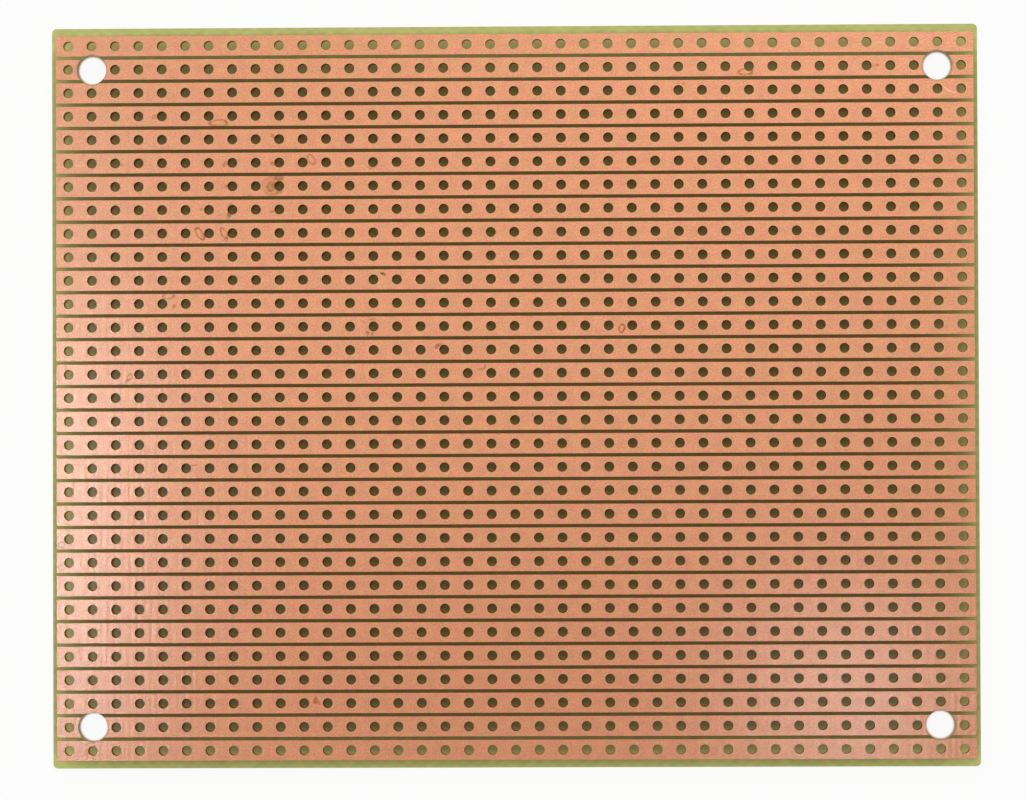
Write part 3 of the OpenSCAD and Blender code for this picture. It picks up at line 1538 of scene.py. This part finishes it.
@dataclass
class CopperLayer:
    """The strips of foil, and the islands that the mounting holes leave.

    Attributes:
        grid: The hole grid.
        edge_break: Width of the softened edges on top.
        wander: How far an etched side wanders.
        wander_step: Distance between two turns of that.
        finish: How the foil looks.
        marks: What the foil has picked up.
        finishes: The finishes made so far, by the marks that they bear.
    """

    grid: HoleGrid
    edge_break: float = 0.004
    wander: float = 0.008
    wander_step: float = 0.7
    finish: CopperFoil = field(default_factory=CopperFoil)
    marks: tuple[Mark, ...] = MARKS
    finishes: dict[tuple[Mark, ...], bpy.types.Material] = field(default_factory=dict)

    def uncut(self, span: Span) -> Span:
        """Lengthens a piece that ends in a mounting hole to the middle of that hole.

        Args:
            span: Box of the piece.

        Returns:
            Its box as it was before drilling.
        """
        left, right = span.left, span.right
        for hole in self.grid.mounting:
            if span.front < hole.y < span.rear:
                left = hole.x if 0 < left - hole.x < hole.radius else left
                right = hole.x if 0 < hole.x - right < hole.radius else right
        return Span(left, right, span.front, span.rear, span.low, span.high)

    def dress(self, span: Span) -> bpy.types.Material:
        """Finds or makes the finish of a piece, with the marks that reach it.

        Args:
            span: Box of the piece.

        Returns:
            The finish.
        """
        borne = tuple(mark for mark in self.marks if mark.touches(span))
        if borne not in self.finishes:
            name = f"copper_foil_{len(self.finishes)}"
            self.finishes[borne] = self.finish.material(name, borne, self.grid)
        return self.finishes[borne]

    def build(self, nodes: Sequence[str]) -> list[bpy.types.Object]:
        """Builds every piece of foil.

        Args:
            nodes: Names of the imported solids, in order.

        Returns:
            The pieces.
        """
        holes = [*self.grid.lead_holes(), *self.grid.mounting]
        pieces = []
        for seed, node in enumerate(nodes):
            span = Span.of(node)
            dice = np.random.default_rng(seed)
            plate = CutPlate(
                outline=etched_outline(self.uncut(span), self.wander, self.wander_step, dice),
                holes=holes,
                low=span.low,
                high=span.high,
                high_break=self.edge_break,
            )
            name = f"{node}_foil"
            pieces.append(as_piece(plate.mesh(name), name, node, self.dress(span)))
        return pieces


# ---------------------------------------------------------------- studio


@dataclass(frozen=True)
class Lamp:
    """A soft lamp over the board.

    Attributes:
        name: Its name.
        place: Where it hangs, in metres.
        size: Its level side and its sloping side, in metres.
        power: Its power, in watts.
        aim: Place on the board that it faces, in metres.
    """

    name: str
    place: tuple[float, float, float]
    size: Pair
    power: float
    aim: Pair = (0.0, 0.0)

    def hang(self) -> None:
        """Puts the lamp in the scene."""
        light = bpy.data.lights.new(self.name, "AREA")
        light.shape = "RECTANGLE"
        light.size, light.size_y = self.size
        light.energy = self.power
        holder = bpy.data.objects.new(self.name, light)
        holder.location = self.place
        facing = Vector((*self.aim, 0)) - Vector(self.place)
        holder.rotation_euler = facing.to_track_quat("-Z", "Y").to_euler()
        bpy.context.scene.collection.objects.link(holder)


# A window and the ceiling light the board. The others are faint and make the white glints.
LAMPS = (
    Lamp("window", (-0.3, 0.5, 0.55), (0.35, 0.35), 0.96),
    Lamp("ceiling", (0.0725, 0.165, 0.55), (0.08, 0.08), 0.27),
    Lamp("left_glint", (-0.119, -0.017, 0.6), (0.09, 0.01), 0.1, aim=(0.0, -0.017)),
    Lamp("left_strip", (-0.118, 0.0, 0.6), (0.18, 0.012), 0.042, aim=(0.0, 0.0)),
    Lamp("right_glint", (0.057, -0.0515, 0.6), (0.024, 0.024), 0.028),
)


@dataclass
class Studio:
    """The white floor, the soft lamps and the camera straight above.

    Attributes:
        span: Box of the board.
        grid: The hole grid.
        floor_side: Side of the floor, in metres.
        floor_drop: How far it lies under the board, in metres.
        ambient: Strength of the light from all round.
        camera_place: Place of the camera, in metres.
        camera_turn: Its turn about X, Y and Z from straight down, in degrees.
        lens: Its focal length, in millimetres.
        sensor: Width of its sensor, in millimetres.
        sight: The nearest and the farthest that it sees, in metres.
        floor: How the floor looks.
        lamps: The lamps.
    """

    span: Span
    grid: HoleGrid
    floor_side: float = 30.0
    floor_drop: float = 0.00002
    ambient: float = 0.6
    camera_place: tuple[float, float, float] = (0.01486, -0.01338, 0.59988)
    camera_turn: tuple[float, float, float] = (1.238, 1.447, -0.215)
    lens: float = 194.6
    sensor: float = 36.0
    sight: Pair = (0.01, 100.0)
    floor: PaleFloor = field(default_factory=PaleFloor)
    lamps: tuple[Lamp, ...] = LAMPS

    def build_floor(self) -> None:
        """Lays the floor just under the board."""
        half = self.floor_side / 2
        signs = ((-1, -1), (1, -1), (1, 1), (-1, 1))
        corners = [(x * half, y * half, -self.floor_drop) for x, y in signs]
        mesh = bpy.data.meshes.new("floor")
        mesh.from_pydata(corners, [], [(0, 1, 2, 3)])
        mesh.materials.append(self.floor.material("white_paper", self.span, self.grid))
        floor = bpy.data.objects.new("floor", mesh)
        bpy.context.scene.collection.objects.link(floor)

    def build_world(self) -> None:
        """Surrounds the board with white, bright to look at and softer as a lamp."""
        world = bpy.data.worlds.new("white_room")
        world.use_nodes = True
        tree = world.node_tree
        background = tree.nodes["Background"]
        background.inputs["Color"].default_value = (1, 1, 1, 1)
        path = tree.nodes.new("ShaderNodeLightPath")
        looked_at = path.outputs["Is Camera Ray"]
        for other in ("Is Glossy Ray", "Is Transmission Ray"):
            either = tree.nodes.new("ShaderNodeMath")
            either.operation = "MAXIMUM"
            tree.links.new(looked_at, either.inputs[0])
            tree.links.new(path.outputs[other], either.inputs[1])
            looked_at = either.outputs[0]
        strength = tree.nodes.new("ShaderNodeMapRange")
        tree.links.new(looked_at, strength.inputs["Value"])
        strength.inputs["To Min"].default_value = self.ambient
        strength.inputs["To Max"].default_value = 1.0
        tree.links.new(strength.outputs[0], background.inputs["Strength"])
        bpy.context.scene.world = world

    def build_camera(self) -> None:
        """Sets the camera above the board."""
        camera = bpy.data.cameras.new("camera")
        camera.lens = self.lens
        camera.sensor_width = self.sensor
        camera.clip_start, camera.clip_end = self.sight
        holder = bpy.data.objects.new("camera", camera)
        holder.location = self.camera_place
        holder.rotation_euler = [math.radians(turn) for turn in self.camera_turn]
        bpy.context.scene.collection.objects.link(holder)
        bpy.context.scene.camera = holder

    def build(self) -> None:
        """Builds the studio."""
        self.build_floor()
        self.build_world()
        for lamp in self.lamps:
            lamp.hang()
        self.build_camera()
        bpy.context.scene.view_settings.view_transform = "Standard"
        log.info("studio: floor, %d lamps and camera", len(self.lamps))


def main() -> None:
    """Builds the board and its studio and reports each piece."""
    logging.basicConfig(level=logging.INFO, format="%(name)s: %(message)s")
    strips = sorted(name for name in frame["nodes"] if name.startswith("strip_"))
    pads = sorted(name for name in frame["nodes"] if name.startswith("pad_"))
    grid = HoleGrid.from_record(frame["record"], len(strips))
    laminate = Laminate(grid)
    laminate.build()
    CopperLayer(grid).build([*strips, *pads])
    Studio(laminate.span, grid).build()


if __name__ == "__main__":
    main()
